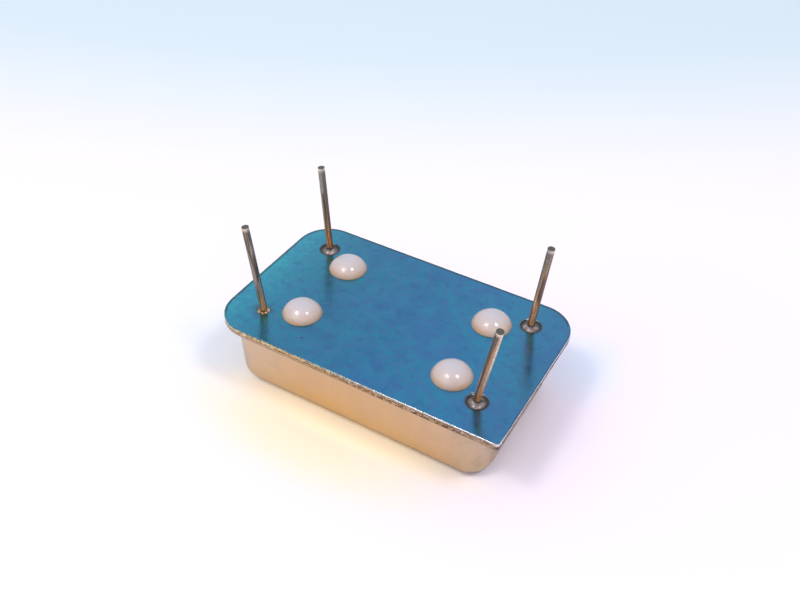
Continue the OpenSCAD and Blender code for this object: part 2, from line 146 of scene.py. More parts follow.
def mixColour(tree, factor, a, b, blend="MIX"):
    node = addNode(tree, "ShaderNodeMix", {0: factor}, data_type="RGBA", blend_type=blend)
    for index, colour in ((6, a), (7, b)):
        feed(tree, node.inputs[index], (*colour, 1) if isinstance(colour, tuple) else colour)
    return node.outputs[2]


def tint(tree, base, coats):   # each coat says where it lies, how strong it is and its colour
    for where, strength, colour in coats:
        base = mixColour(tree, times(tree, where, strength), base, colour)
    return base


def colourRamp(tree, factor, stops):
    node = addNode(tree, "ShaderNodeValToRGB", {"Fac": factor})
    ramp = node.color_ramp
    while len(ramp.elements) < len(stops):
        ramp.elements.new(0.5)
    for element, (place, colour) in zip(ramp.elements, stops):
        element.position = place
        element.color = (*colour, 1) if isinstance(colour, tuple) else (colour, colour, colour, 1)
    return node.outputs["Color"]


def addSocket(tree, label, kind, side="INPUT"):
    return tree.interface.new_socket(label, in_out=side, socket_type="NodeSocket" + kind)


def addInputs(tree, inputs):
    kinds = {float: "Float", int: "Int", tuple: "Vector"}
    for label, value in inputs.items():
        addSocket(tree, label, kinds[type(value)]).default_value = value


def newGroup(name, inputs, outputs):
    group = bpy.data.node_groups.new(name, "ShaderNodeTree")
    addInputs(group, inputs)
    for label in outputs:
        addSocket(group, label, "Float", "OUTPUT")
    given = group.nodes.new("NodeGroupInput").outputs
    scale = mathNode(group, "DIVIDE", 1000.0, given[0])   # the first input is a size in mm
    return group, given, scale, group.nodes.new("NodeGroupOutput").inputs


def cloudGroup():   # soft blotches
    group, given, scale, out = newGroup("cloudyBlotches", {
        "Size": 1.0, "Offset": (0.0, 0.0, 0.0), "Detail": 3.0, "Low": 0.35, "High": 0.65}, ["Mask"])
    place = vectorMath(group, "ADD", objectPlace(group), given["Offset"])
    field = noiseField(group, place, scale, given["Detail"])
    mask = spread(group, field, given["Low"], given["High"], kind="SMOOTHSTEP")
    group.links.new(mask, out["Mask"])
    return group


def speckGroup():   # scattered small spots
    group, given, scale, out = newGroup("scatteredSpecks", {
        "Spacing": 1.0, "Radius": 0.05, "Share": 0.3, "Softness": 0.5}, ["Mask"])
    cells = addNode(group, "ShaderNodeTexVoronoi", {"Vector": objectPlace(group), "Scale": scale}).outputs
    reach = mathNode(group, "DIVIDE", given["Radius"], given["Spacing"])
    inner = times(group, reach, mathNode(group, "SUBTRACT", 1.0, given["Softness"]))
    spot = spread(group, cells["Distance"], inner, reach, 1.0, 0.0)
    draw = addNode(group, "ShaderNodeSeparateColor", {"Color": cells["Color"]}).outputs[0]
    kept = mathNode(group, "LESS_THAN", draw, given["Share"])
    group.links.new(times(group, spot, kept), out["Mask"])
    return group


def brushedGroup():   # fine lines drawn out along one axis
    group, given, scale, out = newGroup("brushedLines", {
        "Size": 0.1, "Stretch": (1.0, 1.0, 0.05)}, ["Height", "Tone"])
    place = vectorMath(group, "MULTIPLY", objectPlace(group), given["Stretch"])
    fine = noiseField(group, place, scale, 4.0, 0.65)
    wide = noiseField(group, place, times(group, scale, 0.22), 2.0)
    group.links.new(fine, out["Height"])
    group.links.new(times(group, plus(group, fine, wide), 0.5), out["Tone"])
    return group


def grainGroup():   # a granular surface
    group, given, scale, out = newGroup("surfaceGrain", {
        "Size": 0.06, "Detail": 5.0, "Roughness": 0.6}, ["Height", "Tone"])
    place = objectPlace(group)
    group.links.new(noiseField(group, place, scale, given["Detail"], given["Roughness"]), out["Height"])
    group.links.new(noiseField(group, place, times(group, scale, 0.13), 2.0), out["Tone"])
    return group


clouds, specks, brushed, grain = cloudGroup(), speckGroup(), brushedGroup(), grainGroup()


def useGroup(tree, group, **inputs):
    return addNode(tree, "ShaderNodeGroup", inputs, node_tree=group).outputs


def cloudMask(tree, size, low=0.35, high=0.65, detail=3.0, offset=(0.0, 0.0, 0.0)):
    return useGroup(tree, clouds, Size=size, Low=low, High=high, Detail=detail, Offset=offset)["Mask"]


def speckMask(tree, spacing, radius, share, softness=0.5):
    return useGroup(tree, specks, Spacing=spacing, Radius=radius, Share=share, Softness=softness)["Mask"]


def shaderSocket(tree, name):
    return tree.nodes["Principled BSDF"].inputs[name.replace("_", " ")]


def startMaterial(name, **sockets):
    material = bpy.data.materials.new(name)
    material.use_nodes = True
    for key, value in sockets.items():
        shaderSocket(material.node_tree, key).default_value = value
    return material, material.node_tree


def addBump(tree, height, depth, strength, under=None):   # depth in mm
    inputs = {"Height": height, "Distance": depth * mm, "Strength": strength}
    if under is not None:
        inputs["Normal"] = under
    normal = firstOut(tree, "ShaderNodeBump", inputs)
    plug(tree, Normal=normal)
    return normal


def plug(tree, **links):
    for key, value in links.items():
        tree.links.new(value, shaderSocket(tree, key))


print("shader groups built")


def circleLine(centre, radius, sides):
    angles = [2 * pi * i / sides for i in range(sides)]
    return [(centre[0] + radius * cos(a), centre[1] + radius * sin(a)) for a in angles]


def addRing(bm, line, z):   # line and z in mm
    return [bm.verts.new((x * mm, y * mm, z * mm)) for x, y in line]


def joinRings(bm, rings):
    for first, second in zip(rings, rings[1:]):
        n = len(first)
        for i in range(n):
            bm.faces.new((first[i], first[(i + 1) % n], second[(i + 1) % n], second[i]))


def fillFlat(bm, rings, upwards):   # one flat face between an outer ring and its holes
    edges = []
    for ring in rings:
        for i, vert in enumerate(ring):
            other = ring[(i + 1) % len(ring)]
            edges.append(bm.edges.get((vert, other)) or bm.edges.new((vert, other)))
    made = bmesh.ops.triangle_fill(bm, use_beauty=True, edges=edges, normal=(0, 0, 1 if upwards else -1))
    for face in (f for f in made["geom"] if isinstance(f, bmesh.types.BMFace)):
        face.normal_update()
        if (face.normal.z > 0) != upwards:
            face.normal_flip()


def layersFor(bm, *names):
    return [bm.verts.layers.float.new(name) for name in names]


def enrol(piece, node=None):
    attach(piece, "root")
    if node:
        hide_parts(node)


def meshFrom(bm, name):
    mesh = bpy.data.meshes.new(name)
    bm.to_mesh(mesh)
    bm.free()
    return mesh


def finishMesh(bm, name, material, node, sharp=40):
    bmesh.ops.recalc_face_normals(bm, faces=bm.faces)
    mesh = meshFrom(bm, name)
    mesh.shade_smooth()
    mesh.set_sharp_from_angle(angle=radians(sharp))
    mesh.materials.append(material)
    enrol(newObject(name, mesh), node)


def boxMiddle(node):   # in mm
    lo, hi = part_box(node)
    return (lo + hi) / 2 / mm


def ripple(x, y, z, size, seed):   # smooth unevenness from -1 to 1
    return noise.noise(Vector((x / size + seed, y / size, z / size)))


def quarter(steps):   # angles of a quarter turn
    return [pi / 2 * i / steps for i in range(steps + 1)]


# sizes that the pieces share, in mm
plateLo, plateHi = (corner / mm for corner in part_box("header"))
halfX, halfY = (plateHi.x - plateLo.x) / 2, (plateHi.y - plateLo.y) / 2
top = plateHi.z
plate = {
    "flange": 0.25,   # thickness of each of the two flanges
    "radii": (2.3, 2.3, 2.3, 0.25),   # corners: +X+Y, -X+Y, -X-Y and the square key corner
    "cornerSteps": 16, "sideSteps": 84,
    "edgeRound": 0.07, "edgeSteps": 5, "uneven": 0.03,   # of both sheared edges
    "wander": ((0.3, 3.0, 0.5), (1.7, 8.0, 0.3)),   # of a sheared edge: size, seed and share of each wave
}
seam = top - plate["flange"]
leadRadius = 0.23
leadPlaces = {number: boxMiddle(node) for number, node in
              ((1, "glass_seal_1"), (7, "ground_braze"), (8, "glass_seal_8"), (14, "glass_seal_14"))}


def plateLine(reachX, reachY, radii):   # closed line, anticlockwise from the +X side
    cornerSteps, sideSteps = plate["cornerSteps"], plate["sideSteps"]
    arcs = []
    for k, (sx, sy) in enumerate(((1, 1), (-1, 1), (-1, -1), (1, -1))):
        r = max(radii[k], 0.01)
        cx, cy = sx * (reachX - r), sy * (reachY - r)
        angles = [pi / 2 * (k + i / cornerSteps) for i in range(cornerSteps + 1)]
        arcs.append([(cx + r * cos(a), cy + r * sin(a)) for a in angles])
    line = []
    for k, arc in enumerate(arcs):
        line += arc
        (ax, ay), (bx, by) = arc[-1], arcs[(k + 1) % 4][0]
        line += [(ax + (bx - ax) * i / sideSteps, ay + (by - ay) * i / sideSteps)
                 for i in range(1, sideSteps)]
    return line


def plateRing(inset, rough=0.0, z=0.0):   # rough: how far the sheared edge wanders inwards
    line = plateLine(halfX - inset, halfY - inset, [r - inset for r in plate["radii"]])
    if not rough:
        return line
    moved = []
    for i, (x, y) in enumerate(line):
        (ax, ay), (bx, by) = line[i - 1], line[(i + 1) % len(line)]
        out = Vector((by - ay, ax - bx)).normalized()
        push = 0.5
        for size, seed, share in plate["wander"]:
            push -= share * ripple(x, y, z, size, seed)
        push = max(0.0, rough * push)
        moved.append((x - out.x * push, y - out.y * push))
    return moved


def roundEdge(bm, seed, first, last):   # the rounded, roughened edge of a sheet between two heights
    r, uneven, inward = plate["edgeRound"], plate["uneven"], 1 if last > first else -1
    turn = quarter(plate["edgeSteps"])
    rings = [addRing(bm, plateRing(r * (1 - sin(a)), uneven * sin(a), seed),
                     first + inward * r * (1 - cos(a))) for a in turn]
    rings += [addRing(bm, plateRing(r * (1 - cos(a)), uneven * cos(a), seed),
                      last - inward * r * (1 - sin(a))) for a in turn]
    return rings


headerPlate = {
    "edgeSeed": 9.0, "topInsets": (3.8, 2.4),
    "holeRadius": 0.7, "mouth": 0.045,   # of the glass sealed holes
    "brazeRadius": 0.4, "brazeMouth": 0.03,   # of the brazed hole
    "mouthInsets": (2.0, 1.3), "mouthSteps": 6, "holeSides": 48,
    "platformInset": 1.35, "platformRadius": 1.2,
    "marks": ("rim", "throat", "seam", "lip", "edgeShade"),   # names of the marks that the finish reads
    # marks of the edge's rings, from the top face down to the seam; the lip marks carry a painted
    # highlight, the dark edge marks a painted shade
    "rim": (0,) * 7 + (1,) * 7, "lip": (0,) * 4 + (1,) * 3 + (0,) * 7,
    "seam": (0,) * 8 + (0.3,) * 2 + (1,) * 4,
    "edgeShade": (0.0, 0.9, 1.0, 1.0, 1.0, 1.0, 0.8) + (0,) * 7,
    "thinEdgeShade": (0.0, 0.0, 0.25, 0.8, 1.0, 1.0, 0.8) + (0,) * 7,   # the painted edge shade, thinner along the right edge
    # marks of a hole's rings, from the mouth down: painted shade round the rim and down the throat, a
    # painted highlight on the lip
    "holeLip": (0,) * 5 + (0.7,) * 3 + (0,) * 2, "holeEdgeShade": (0,) + (0.6,) * 4 + (0,) * 5,
    "throat": (0,) * 7 + (1,) * 3,
    "rightEdge": 0.5,   # mm from the right end
    "highlightFrom": 1.2, "highlightReach": 0.8,   # mm behind the front edge, over which the painted highlight fades out
    "burntSpeck": (-0.4, -0.75),   # in shares of the plate's half sizes
    # the blue coat from left to right, its lighter teal toward the left end being painted reflection
    "blues": [(0.0, (0.05, 0.61, 0.66)), (0.11, (0.03, 0.38, 0.47)), (0.24, (0.02, 0.26, 0.37)),
              (0.5, (0.015, 0.23, 0.42)), (0.8, (0.02, 0.32, 0.5)), (1.0, (0.06, 0.28, 0.44))],
}


def headerMaterial(spec):
    material, tree = startMaterial("headerBlueCoat", Metallic=1.0, Coat_Weight=0.9, Coat_IOR=1.5,
                                   Coat_Roughness=0.14)
    broad = cloudMask(tree, 5.0, 0.3, 0.7, 1.0)
    middle = cloudMask(tree, 1.1, 0.32, 0.68, 2.0, (3, 1, 0))
    small = cloudMask(tree, 0.3, 0.32, 0.68, 2.0, (1, 7, 0))
    murky = cloudMask(tree, 0.7, 0.52, 0.72, 3.0, (8, 3, 0))
    fleck = cloudMask(tree, 0.17, 0.38, 0.6, 3.0, (5, 2, 0))
    glints = speckMask(tree, 0.4, 0.06, 0.25)
    pale = speckMask(tree, 1.9, 0.05, 0.14)
    dark = speckMask(tree, 2.7, 0.09, 0.08, 0.3)
    lines = useGroup(tree, brushed, Size=0.16, Stretch=(0.12, 1.0, 1.0))
    rim, throat, gap, lip, edgeShade = (attribute(tree, name) for name in spec["marks"])
    x = axisOf(tree, "X")
    across = spread(tree, x, -halfX * mm, halfX * mm)
    base = tint(tree, colourRamp(tree, across, spec["blues"]), [
        (broad, spread(tree, across, 0.1, 0.5, 0.1, 0.5), (0.05, 0.17, 0.49)),
        (middle, 0.5, (0.015, 0.35, 0.5)),
        (small, spread(tree, across, 0.0, 0.4, 0.35, 0.5), (0.08, 0.19, 0.46)),
        (murky, 0.35, (0.02, 0.13, 0.34))])
    golden = mixColour(tree, fleck, (0.36, 0.23, 0.07), (0.85, 0.6, 0.26))
    singed = mixColour(tree, fleck, (0.15, 0.065, 0.04), (0.42, 0.25, 0.16))
    bare = mixColour(tree, spread(tree, across, 0.25, 0.75), golden, singed)
    olive = mixColour(tree, fleck, (0.06, 0.045, 0.02), (0.4, 0.34, 0.16))
    olive = mixColour(tree, glints, olive, (0.85, 0.95, 0.75))
    bright = mixColour(tree, fleck, (0.6, 0.52, 0.44), (0.92, 0.88, 0.82))
    highlight = mixColour(tree, spread(tree, across, 0.35, 0.75), olive, bright)
    right = spread(tree, x, (halfX - spec["rightEdge"]) * mm, (halfX - 0.1) * mm, 0.0, 0.8)

    def spot(x, y, inner, outer, strength):   # fades out round a point of the top face
        away = vectorMath(tree, "DISTANCE", objectPlace(tree), (x * mm, y * mm, top * mm))
        return spread(tree, away, inner * mm, outer * mm, strength, 0.0)

    # painted shade round the brazed lead's foot, with scorch
    shadeAndScorch = spot(leadPlaces[7].x, leadPlaces[7].y, 0.45, 0.85, 0.7)
    burntX, burntY = spec["burntSpeck"]
    burnt = spot(burntX * halfX, burntY * halfY, 0.05, 0.09, 1.0)
    dark = mathNode(tree, "MAXIMUM", dark, burnt)
    base = tint(tree, base, [
        (rim, between(tree, small, 0.75, 1.1), bare),
        # painted highlight on the plate's edge at the right end
        (rim, right, (0.78, 0.74, 0.77)),
        # painted highlight on the front edge and the hole lips, with painted glints
        (lip, 0.95, highlight),
        # painted shade along the back and side edges and round the hole rims
        (edgeShade, 0.8, (0.02, 0.06, 0.09)),
        (gap, 0.9, (0.1, 0.05, 0.03)),
        # painted shade down the hole's wall
        (throat, 0.85, (0.03, 0.05, 0.09)),
        (shadeAndScorch, between(tree, small, 0.5, 1.0), (0.06, 0.1, 0.13)),   # painted shade round the foot of the brazed lead, with scorch from the braze
        (pale, 0.5, (0.6, 0.7, 0.75)),
        (dark, 1.0, (0.01, 0.02, 0.03))])
    rough = plus(tree, between(tree, middle, 0.17, 0.25), times(tree, small, 0.06))
    plug(tree, Base_Color=base, Roughness=rough, Metallic=between(tree, dark, 1.0, 0.2))
    wavy = addBump(tree, middle, 0.02, 0.12)
    ragged = times(tree, fleck, mathNode(tree, "MAXIMUM", rim, lip))
    relief = plus(tree, lines["Height"], times(tree, small, 0.6))
    addBump(tree, plus(tree, relief, times(tree, ragged, 8.0)), 0.004, 0.22, wavy)
    return material


def makeHeader(spec):
    bm = bmesh.new()
    rimLayer, throatLayer, seamLayer, lipLayer, edgeShadeLayer = layersFor(bm, *spec["marks"])
    outer = [addRing(bm, plateRing(plate["edgeRound"] * inset), top) for inset in spec["topInsets"]]
    outer += roundEdge(bm, spec["edgeSeed"], top, seam)
    for k, ring in enumerate(outer):
        for vert in ring:   # a painted highlight along the front edge, a painted shade along the others
            front = (-vert.co.y / mm - halfY + spec["highlightFrom"]) / spec["highlightReach"]
            highlight = min(1.0, max(0.0, front))
            atRight = vert.co.x / mm > halfX - spec["rightEdge"]
            edgeShade = spec["thinEdgeShade"] if atRight else spec["edgeShade"]
            vert[rimLayer] = spec["rim"][k]
            vert[lipLayer] = highlight * spec["lip"][k]
            vert[edgeShadeLayer] = (1 - highlight) * edgeShade[k]
            vert[seamLayer] = spec["seam"][k]
    inset = spec["platformInset"]
    platform = plateLine(halfX - inset, halfY - inset, [spec["platformRadius"]] * 4)
    outer += [addRing(bm, platform, z) for z in (seam, plateLo.z)]
    joinRings(bm, outer)
    tops, lows = [outer[0]], [outer[-1]]

    def holeRing(centre, r, z):
        return addRing(bm, circleLine(centre, r, spec["holeSides"]), z)

    for number, centre in leadPlaces.items():
        brazed = number == 7
        mouth = spec["brazeMouth" if brazed else "mouth"]
        radius = spec["brazeRadius" if brazed else "holeRadius"]
        rings = [holeRing(centre, radius + mouth * inset, top) for inset in spec["mouthInsets"]]
        rings += [holeRing(centre, radius + mouth * (1 - sin(a)), top - mouth * (1 - cos(a)))
                  for a in quarter(spec["mouthSteps"])]
        rings.append(holeRing(centre, radius, plateLo.z))
        for k, ring in enumerate(rings):
            for vert in ring:
                vert[lipLayer] = 0.0 if brazed else spec["holeLip"][k]
                vert[edgeShadeLayer] = 0.0 if brazed else spec["holeEdgeShade"][k]
                vert[throatLayer] = spec["throat"][k]
        joinRings(bm, rings[::-1])
        tops.append(rings[0])
        lows.append(rings[-1])
    fillFlat(bm, tops, True)
    fillFlat(bm, lows, False)
    finishMesh(bm, "header_plate", headerMaterial(spec), "header")


makeHeader(headerPlate)
print("header made")

coverShell = {
    "wall": 0.25, "ledge": 0.8, "cornerRadius": 1.8, "baseRadius": 1.3, "baseSteps": 12, "draft": 2.2,
    "fillet": 0.22, "filletSteps": 6, "edgeSeed": 4.0,
    "dent": 0.012, "dentSize": 3.0, "dentSeed": 4.0,
    "dentFree": (0.4, 0.6),   # mm at the base and below the seam that stay true
    "baseInset": 0.15, "flangeInset": 1.6,
    "seam": (1,) * 6 + (0.5, 0, 0) + (1,) * 4,   # marks of the flange's rings, from below up: the dark joint at the seam, and painted shade under the flange
    "wallShift": -0.14,   # the wall sits a little off the middle of its flange
    "outsideStops": (1.9, 2.6, 3.3, 4.0, 4.5), "insideStops": (4.0, 2.6),
    "tones": [(0.0, (0.1, 0.06, 0.02)), (0.125, (0.2, 0.125, 0.04)), (0.165, (0.56, 0.38, 0.18)),
              (0.4, (0.61, 0.435, 0.27)), (0.72, (0.61, 0.45, 0.32)), (0.86, (0.61, 0.47, 0.38)),
              (0.93, (0.6, 0.42, 0.22)), (1.0, (0.58, 0.4, 0.18))],   # from the foot up: dark at the foot as painted shade, pinker below the flange as painted reflection
}


def coverMaterial(spec):
    material, tree = startMaterial("coverSatinNickel", Metallic=1.0)
    lines = useGroup(tree, brushed, Size=0.3, Stretch=(1.0, 1.0, 0.06))
    handled = cloudMask(tree, 1.5, 0.48, 0.72, 4.0, (2, 5, 0))
    broad = cloudMask(tree, 5.0, 0.3, 0.7, 2.0)
    scorch = cloudMask(tree, 0.16, 0.44, 0.56, 4.0)
    smudge = cloudMask(tree, 0.6, 0.5, 0.75, 3.0, (7, 1, 3))
    pits = speckMask(tree, 0.9, 0.035, 0.12)
    rim, gap, x = attribute(tree, "rim"), attribute(tree, "seam"), axisOf(tree, "X")

    def alongX(start, stop, toLow=0.0, toHigh=1.0):   # mm from the middle of the plate
        return spread(tree, x, start * mm, stop * mm, toLow, toHigh)

    burnt = times(tree, alongX(-4.0, 5.0, 0.3, 0.95), alongX(7.0, 9.0, 1.0, 0.3))
    right = alongX(halfX - 0.5, halfX - 0.1, 0.0, 0.85)
    up = spread(tree, axisOf(tree, "Z"), 0.0, top * mm)
    base = tint(tree, colourRamp(tree, up, spec["tones"]), [
        (broad, 0.3, (0.62, 0.44, 0.31)),
        (handled, 0.2, (0.5, 0.36, 0.3)),
        (lines["Tone"], 0.25, (0.42, 0.3, 0.2)),
        (pits, 0.7, (0.08, 0.06, 0.05)),
        (alongX(6.5, 9.0), between(tree, handled, 0.35, 0.8), (0.4, 0.38, 0.28)),   # painted shade: the right end darker and greyer, in blotches
        (smudge, alongX(5.0, 8.5, 0.0, 0.18), (0.2, 0.15, 0.11)),
        # lighter and pinker toward the left end
        (alongX(-4.0, -7.5), 0.4, (0.62, 0.5, 0.42)),
        # painted shade: a dark line along the left end
        (alongX(-8.75, -9.35), 0.7, (0.2, 0.17, 0.1)),
        (rim, times(tree, scorch, burnt), (0.13, 0.07, 0.04)),
        # painted shade on the flange at the right end
        (rim, right, (0.06, 0.05, 0.07)),
        # the dark joint at the seam, and painted shade under the flange
        (gap, 0.85, (0.1, 0.055, 0.03))])
    rough = plus(tree, spread(tree, lines["Tone"], 0.3, 0.7, 0.3, 0.42), times(tree, handled, 0.1))
    plug(tree, Base_Color=base, Roughness=rough)
    wavy = addBump(tree, broad, 0.05, 0.1)
    addBump(tree, mathNode(tree, "SUBTRACT", lines["Height"], pits), 0.006, 0.4, wavy)
    return material


def makeCover(spec):
    bm = bmesh.new()
    rimLayer, seamLayer = layersFor(bm, "rim", "seam")
    draft = radians(spec["draft"])
    cornerX = halfX - spec["ledge"] - spec["cornerRadius"]
    cornerY = halfY - spec["ledge"] - spec["cornerRadius"]

    def wallX(z, inset):
        return spec["cornerRadius"] - (seam - z) * tan(draft) - inset / cos(draft)

    def ring(x, z):
        line = plateLine(cornerX + x, cornerY + x, [x] * 4)
        dent = spec["dent"] if spec["dentFree"][0] < z < seam - spec["dentFree"][1] else 0
        moved = []
        for px, py in line:
            push = dent * ripple(px, py, z, spec["dentSize"], spec["dentSeed"])
            moved.append((px * (1 + push / halfX) + spec["wallShift"],
                          py * (1 + push / halfY)))
        return addRing(bm, moved, z)

    def profile(inset):   # from the flat base up the round edge
        r = spec["baseRadius"] - inset
        centreX = wallX(spec["baseRadius"], spec["baseRadius"])
        turn = [(pi / 2 - draft) * i / spec["baseSteps"] for i in range(spec["baseSteps"] + 1)]
        bend = [(centreX + r * sin(a), spec["baseRadius"] - r * cos(a)) for a in turn]
        return [(centreX - spec["baseInset"], inset)] + bend

    under = seam - plate["flange"]
    filletZ = under - spec["fillet"]
    filletX = wallX(filletZ, -spec["fillet"])
    outside = profile(0.0) + [(wallX(z, 0), z) for z in spec["outsideStops"]]
    for i in range(spec["filletSteps"] + 1):
        a = draft + (pi / 2 - draft) * i / spec["filletSteps"]
        outside.append((filletX - spec["fillet"] * cos(a), filletZ + spec["fillet"] * sin(a)))
    rings = [ring(x, z) for x, z in outside]
    flange = [addRing(bm, plateRing(plate["edgeRound"] * spec["flangeInset"]), under)]
    flange += roundEdge(bm, spec["edgeSeed"], under, seam)
    for k, edge in enumerate(flange):
        for vert in edge:
            vert[rimLayer] = 1.0
            vert[seamLayer] = spec["seam"][k]
    inside = [(wallX(z, spec["wall"]), z) for z in (seam, *spec["insideStops"])]
    inside += reversed(profile(spec["wall"]))
    rings += flange + [ring(x, z) for x, z in inside]
    joinRings(bm, rings)
    fillFlat(bm, [rings[0]], False)
    fillFlat(bm, [rings[-1]], True)
    finishMesh(bm, "cover_shell", coverMaterial(spec), "cover")


makeCover(coverShell)
print("cover made")

sealGlass = {
    "radius": 0.7, "sink": 0.1, "wetWall": 0.035, "climb": 0.34, "dip": 0.02,
    "tones": [(0.0, (0.14, 0.12, 0.12)), (0.5, (0.27, 0.22, 0.21)), (1.0, (0.52, 0.44, 0.42))],
    "shade": [(0.0, 0.02), (0.22, 0.05), (0.4, 0.2), (0.56, 0.7), (0.9, 1.0), (0.97, 0.2), (1.0, 0.06)],
}
brazeMetal = {
    "radius": 0.4, "sink": 0.0, "wetWall": 0.0, "climb": 0.16, "dip": 0.0,
    "blotches": (0.3, 0.35, 0.65, 4.0), "grain": 0.05, "metal": 0.9, "rough": (0.25, 0.5),
    "bump": (0.012, 0.5),
    "tones": [(0.0, (0.12, 0.06, 0.03)), (0.5, (0.42, 0.28, 0.15)), (1.0, (0.7, 0.58, 0.4))],
}
collar = {"sides": 48, "steps": 16, "uneven": 0.02, "rippleSize": 0.3}   # the mesh that both are made of


def sealMaterial(spec):
    material, tree = startMaterial("sealGlassGrey", IOR=1.5, Coat_Weight=0.5, Coat_Roughness=0.08)
    murk = cloudMask(tree, 0.35, 0.3, 0.7, 4.0)
    bubbles = speckMask(tree, 0.13, 0.025, 0.3, 0.7)
    shade = colourRamp(tree, attribute(tree, "across"), spec["shade"])   # painted shade, dark at the hole's wall and at the lead's foot and light between, from the hole's wall to the lead
    base = mixColour(tree, 1.0, colourRamp(tree, murk, spec["tones"]), shade, "MULTIPLY")
    base = tint(tree, base, [(bubbles, 0.3, (0.6, 0.6, 0.62))])
    plug(tree, Base_Color=base, Roughness=between(tree, murk, 0.08, 0.2))
    addBump(tree, plus(tree, murk, times(tree, bubbles, 0.5)), 0.01, 0.4)
    return material


def roughMetal(name, spec):   # cast or molten metal: the braze, the weld grains and the burrs
    material, tree = startMaterial(name, Metallic=spec["metal"])
    tone = cloudMask(tree, *spec["blotches"])   # size, low, high, detail and offset
    fine = useGroup(tree, grain, Size=spec["grain"])
    plug(tree, Base_Color=colourRamp(tree, tone, spec["tones"]),
         Roughness=spread(tree, fine["Tone"], 0.3, 0.7, *spec["rough"]))
    addBump(tree, fine["Height"], *spec["bump"])
    return material


def makeCollar(name, node, spec, material, seed):
    bm = bmesh.new()
    acrossLayer = layersFor(bm, "across")[0]
    centre = boxMiddle(node)
    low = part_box(node)[0].z / mm
    inner, outer = leadRadius, spec["radius"]
    rings = [(inner, low, 0.0), (outer, low, 0.0)]
    for i in range(collar["steps"] + 1):   # from the wall of the hole in to the lead
        t = i / collar["steps"]
        r = outer - (outer - inner) * t
        near = max(0.0, 1 - (r - inner) / spec["climb"])
        rise = spec["wetWall"] * max(0.0, 1 - t * 5) ** 2 - spec["dip"] * sin(pi * t)
        rise += spec["climb"] * (1 - sqrt(max(0.0, 1 - near * near)))
        rings.append((r, top - spec["sink"] + rise, t))
    made = []
    for r, z, t in rings:
        verts = []
        for x, y in circleLine(centre, r, collar["sides"]):
            wobble = collar["uneven"] * sin(pi * t) * ripple(x, y, z, collar["rippleSize"], seed)
            vert = bm.verts.new((x * mm, y * mm, (z + wobble) * mm))
            vert[acrossLayer] = t
            verts.append(vert)
        made.append(verts)
    joinRings(bm, made + made[:1])
    finishMesh(bm, name, material, node, 60)


glassFinish = sealMaterial(sealGlass)
for number in (1, 8, 14):
    makeCollar(f"seal_bead_{number}", f"glass_seal_{number}", sealGlass, glassFinish,
               number * 3.1)
brazeFinish = roughMetal("brazeDullMetal", brazeMetal)
makeCollar("braze_fillet_7", "ground_braze", brazeMetal, brazeFinish, 2.4)
print("seals made")

leadWire = {
    "bendHeight": 0.3, "bendRadius": 1.2, "length": 6.44,
    "sides": 32, "bendSteps": 8, "steps": 40, "uneven": 0.03, "endTaper": 0.14,
    "lean": {1: (10.1, -4.8), 7: (-5.8, -1.7), 8: (-4.8, 0.7), 14: (5.2, -1.3)},   # degrees along X and Y
    "brownReach": {1: 0.75, 7: 0.22, 8: 0.55, 14: 0.8},   # how far up the brown heat tint goes
    "highlight": {1: 1.0, 7: 0.7, 8: 0.6, 14: 0.72},   # how strong each lead's painted highlight and painted side shade are, from 0 to 1
    "highlightSide": {1: -22, 7: -45, 8: 110, 14: -85},   # the side that carries each lead's painted highlight, degrees round from +X
    "tones": [(0.25, (0.76, 0.3, 0.08)), (0.5, (0.6, 0.3, 0.12)), (0.75, (0.43, 0.3, 0.19)),
              (0.95, (0.33, 0.28, 0.24)), (1.0, (0.34, 0.31, 0.28))],   # from the foot up
    "tip": (0.8, 0.68, 0.56), "sheared": (0.1, 0.09, 0.075),
}


def leadMaterial(spec):
    material, tree = startMaterial("leadTinnedWire")
    wire = attribute(tree, "drawn", "Vector")
    along, fade, highlight = (attribute(tree, name) for name in ("along", "fade", "highlight"))
    streak = noiseField(tree, wire, 1.9, 4.0, 0.6)
    wide = noiseField(tree, wire, 1.1, 1.0)
    spots = cloudMask(tree, 0.5, 0.4, 0.62, 5.0)
    sand = useGroup(tree, grain, Size=0.09, Detail=4.0, Roughness=0.7)["Height"]
    sway = mathNode(tree, "SUBTRACT", streak, 0.5)
    worn = plus(tree, fade, sway)
    highlight = plus(tree, highlight, times(tree, sway, 0.35))
    sideShade = spread(tree, mathNode(tree, "ABSOLUTE", highlight), 0.62, 0.28)
    base = tint(tree, colourRamp(tree, worn, spec["tones"]), [
        (spread(tree, wide, 0.51, 0.58), 0.85, (0.06, 0.03, 0.02)),
        (spread(tree, streak, 0.58, 0.66), 0.7, (0.86, 0.7, 0.54)),
        # painted highlight along one side of the lead
        (spread(tree, highlight, 0.82, 0.93), spread(tree, fade, 0.15, 0.6, 0.0, 0.85), (0.96, 0.8, 0.6)),
        (sideShade, 0.85, (0.07, 0.045, 0.035)),   # painted shade along the lead's sides, beside the painted highlight
        (spots, 0.25, (0.25, 0.17, 0.13)),
        (spread(tree, sand, 0.5, 0.62), 0.6, (0.1, 0.075, 0.06)),
        (spread(tree, along, 0.965, 0.988), 0.75, spec["tip"]),
        (spread(tree, along, 0.9985, 1.0), 0.9, spec["sheared"])])
    plug(tree, Base_Color=base, Roughness=spread(tree, streak, 0.3, 0.7, 0.26, 0.42),
         Metallic=spread(tree, worn, 0.3, 0.95, 0.35, 0.75))
    addBump(tree, plus(tree, streak, times(tree, sand, 0.5)), 0.012, 0.45)
    return material


def newTree(name, inputs, result):   # a Geometry Nodes tree that grows a mesh on a line
    tree = bpy.data.node_groups.new(name, "GeometryNodeTree")
    addSocket(tree, "Line", "Geometry")
    addInputs(tree, inputs)
    addSocket(tree, "Finish", "Material")
    addSocket(tree, result, "Geometry", "OUTPUT")
    return tree, tree.nodes.new("NodeGroupInput").outputs


